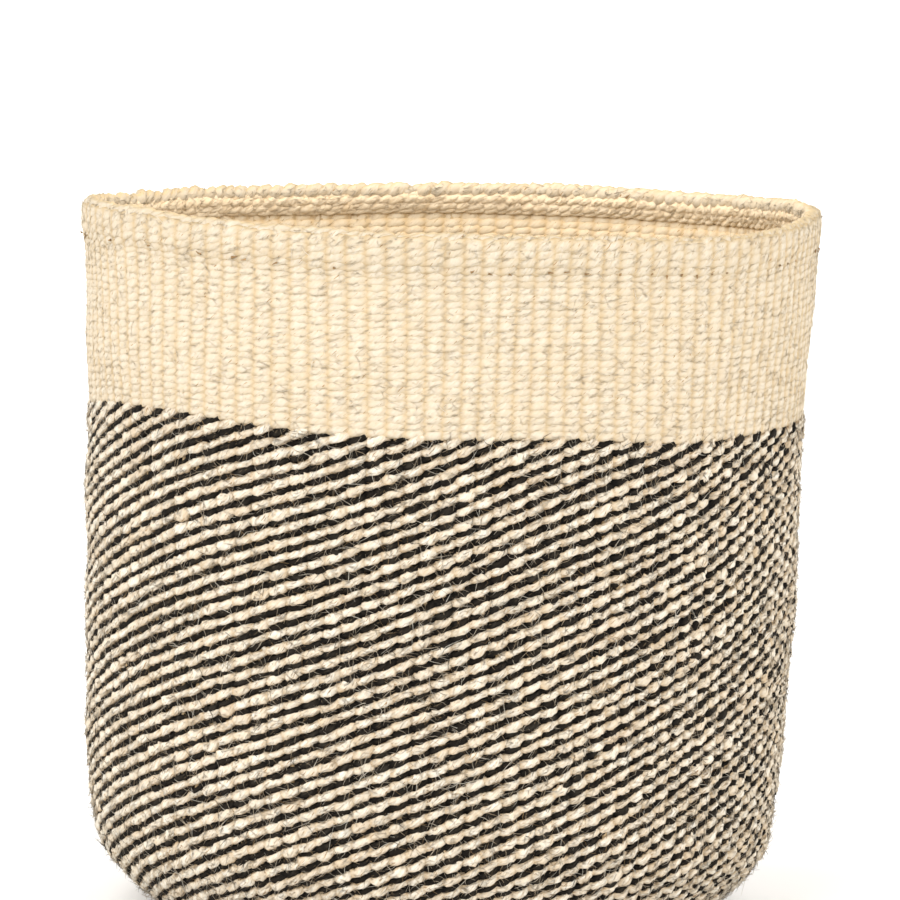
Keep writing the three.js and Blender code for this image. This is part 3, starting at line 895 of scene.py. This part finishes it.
def hem_gap_shadows():
    """Dark brown stubs here and there along the hem's lower edge: painted shadow for the small gaps between
    the rows there.
    """
    dark = sisal(
        "dark_hem_gap_shadows", (0.55, 0.36, 0.18), (0.45, 0.28, 0.13), (0.30, 0.18, 0.08), (0.1, 0.06, 0.03),
        (0.4, 0.25, 0.12), 0.8,
    )
    number = 60
    angle = rng.choice(WARPS, number, replace=False) / WARPS * TAU + rng.uniform(-0.01, 0.01, number)
    way = way_at_height(HEM_BOTTOM) + rng.normal(0, 0.25, number) * MM
    start, normals = place(way, angle, MIDDLE_DEPTH + HEM_BULGE * 0.3 + rng.uniform(-0.5, 0.4, number) * MM)
    ahead, _ = place(way + 0.3 * MM, angle + 0.01, MIDDLE_DEPTH * np.ones(number))
    along = unit(ahead - start)
    lines = stray_lines(start, along, normals, 1.0, 0.5, 0.02, 0.2)
    sizes = fibre_sizes(number, 0.55)
    add_fibres("hem_gap_shadows", lines, sizes, rng.uniform(0, 1.2, number), dark)


def stage():
    """A plain pale floor."""
    bpy.ops.mesh.primitive_plane_add(size=60, location=(0, 20, 0))
    floor = bpy.context.active_object
    floor.name = "floor"
    material = bpy.data.materials.new("pale_floor")
    material.use_nodes = True
    shader = material.node_tree.nodes["Principled BSDF"]
    shader.inputs["Base Color"].default_value = (0.98, 0.98, 0.98, 1)
    shader.inputs["Roughness"].default_value = 0.9
    shader.inputs["Specular IOR Level"].default_value = 0.0
    floor.data.materials.append(material)


def lights():
    """Soft studio light: a bright room and two very wide lamps, in front to the left and to the right."""
    world = bpy.data.worlds.new("studio")
    bpy.context.scene.world = world
    world.use_nodes = True
    background = world.node_tree.nodes["Background"]
    background.inputs["Color"].default_value = (1, 0.95, 0.88, 1)
    background.inputs["Strength"].default_value = 0.70
    for name, energy, direction in (
        ("lamp_left", 3.55, (0.84, 0.57, -0.6)),
        ("lamp_right", 2.98, (-0.84, 0.57, -0.6)),
    ):
        lamp = bpy.data.lights.new(name, "SUN")
        lamp.angle = math.radians(80)
        lamp.energy = energy
        key = bpy.data.objects.new(name, lamp)
        key.rotation_euler = Vector(direction).to_track_quat("-Z", "Y").to_euler()
        bpy.context.scene.collection.objects.link(key)
    bpy.context.scene.view_settings.view_transform = "Standard"


def camera():
    """The photographed view: a long lens a little above the rim, aimed so that the rim's middle falls
    where the photo has it."""
    focal = CAMERA_DISTANCE / PIXEL  # in pixels
    lens = bpy.data.cameras.new("camera")
    lens.sensor_width = 36
    lens.lens = focal * lens.sensor_width / IMAGE_SIZE
    lens.clip_end = 200
    eye = bpy.data.objects.new("camera", lens)
    bpy.context.scene.collection.objects.link(eye)
    target = Vector((HAND_LEAN * HEIGHT, 0, HEIGHT))
    away = Vector((0, -math.cos(CAMERA_ELEVATION), math.sin(CAMERA_ELEVATION)))
    eye.location = target + CAMERA_DISTANCE * away
    across = RIM_CENTRE_IN_IMAGE[0] - IMAGE_SIZE / 2
    down = RIM_CENTRE_IN_IMAGE[1] - IMAGE_SIZE / 2
    right = (across * math.cos(CAMERA_ROLL) + down * math.sin(CAMERA_ROLL)) / focal
    below = (down * math.cos(CAMERA_ROLL) - across * math.sin(CAMERA_ROLL)) / focal
    turn = (
        Matrix.Rotation(math.atan(right), 4, "Z")
        @ Matrix.Rotation(math.pi / 2 - CAMERA_ELEVATION + math.atan(below), 4, "X")
        @ Matrix.Rotation(CAMERA_ROLL, 4, "Z")
    )
    eye.matrix_world = Matrix.Translation(eye.location) @ turn
    bpy.context.scene.camera = eye


camera()
lights()
stage()
strands = weft()
warp_cords()
packing()
ropes = rim()
hem_gap_shadows()
loose_fibres(strands, ropes)
